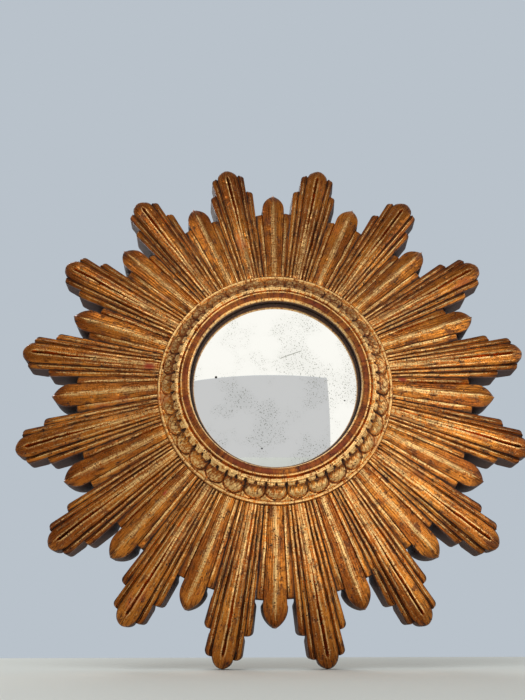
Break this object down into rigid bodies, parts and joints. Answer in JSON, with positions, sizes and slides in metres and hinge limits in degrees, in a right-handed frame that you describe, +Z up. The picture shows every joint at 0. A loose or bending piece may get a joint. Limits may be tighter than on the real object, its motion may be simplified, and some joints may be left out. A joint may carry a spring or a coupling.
{
  "type": "sunburst wall mirror",
  "caption": "Carved giltwood sunburst wall mirror: a round convex glass in a carved ring, with alternating long and short fluted rays and a folding hanging loop behind.",
  "frame": {"origin": "centre of the back board's rear face, on the wall plane", "axes": "+Z up with the mirror hanging, +Y out of the flat back into the wall, -Y out of the glass toward the viewer, +X to the viewer's right"},
  "size_m": [0.5406, 0.099, 0.5406],
  "materials": {
    "gilding": "worn gold leaf over red bole on carved wood, semi-gloss",
    "mirror_glass": "silvered convex glass with foxing",
    "block_wood": "bare wood",
    "pine": "bare aged pine board",
    "steel": "dull aged steel",
    "brass": "aged brass"
  },
  "bodies": {
    "mirror": {"short_ray_01": "gilding", "short_ray_02": "gilding", "short_ray_03": "gilding", "short_ray_04": "gilding", "short_ray_05": "gilding", "short_ray_06": "gilding", "short_ray_07": "gilding", "short_ray_08": "gilding", "short_ray_09": "gilding", "short_ray_10": "gilding", "short_ray_11": "gilding", "short_ray_12": "gilding", "short_ray_13": "gilding", "short_ray_14": "gilding", "short_ray_15": "gilding", "short_ray_16": "gilding", "long_ray_01": "gilding", "long_ray_02": "gilding", "long_ray_03": "gilding", "long_ray_04": "gilding", "long_ray_05": "gilding", "long_ray_06": "gilding", "long_ray_07": "gilding", "long_ray_08": "gilding", "long_ray_09": "gilding", "long_ray_10": "gilding", "long_ray_11": "gilding", "long_ray_12": "gilding", "long_ray_13": "gilding", "long_ray_14": "gilding", "long_ray_15": "gilding", "long_ray_16": "gilding", "carved_ring": "gilding", "mirror_glass": "mirror_glass", "glass_block_01": "block_wood", "glass_block_02": "block_wood", "glass_block_03": "block_wood", "glass_block_04": "block_wood", "glass_block_05": "block_wood", "glass_block_06": "block_wood", "back_board": "pine", "back_screw_01": "steel", "back_screw_02": "steel", "back_screw_03": "steel", "back_screw_04": "steel", "back_screw_05": "steel", "back_screw_06": "steel", "back_screw_07": "steel", "back_screw_08": "steel", "hanger_screw_01": "steel", "hanger_screw_02": "steel", "hanger_plate": "brass"},
    "hanging_loop": {"hanger_ring": "brass"}
  },
  "joints": [
    {"name": "hanger_ring_swing", "type": "hinge", "parent": "mirror", "child": "hanging_loop", "pos_m": [0, -0.0046, 0.174], "axis": [1, 0, 0], "range_deg": [0, 180]}
  ]
}
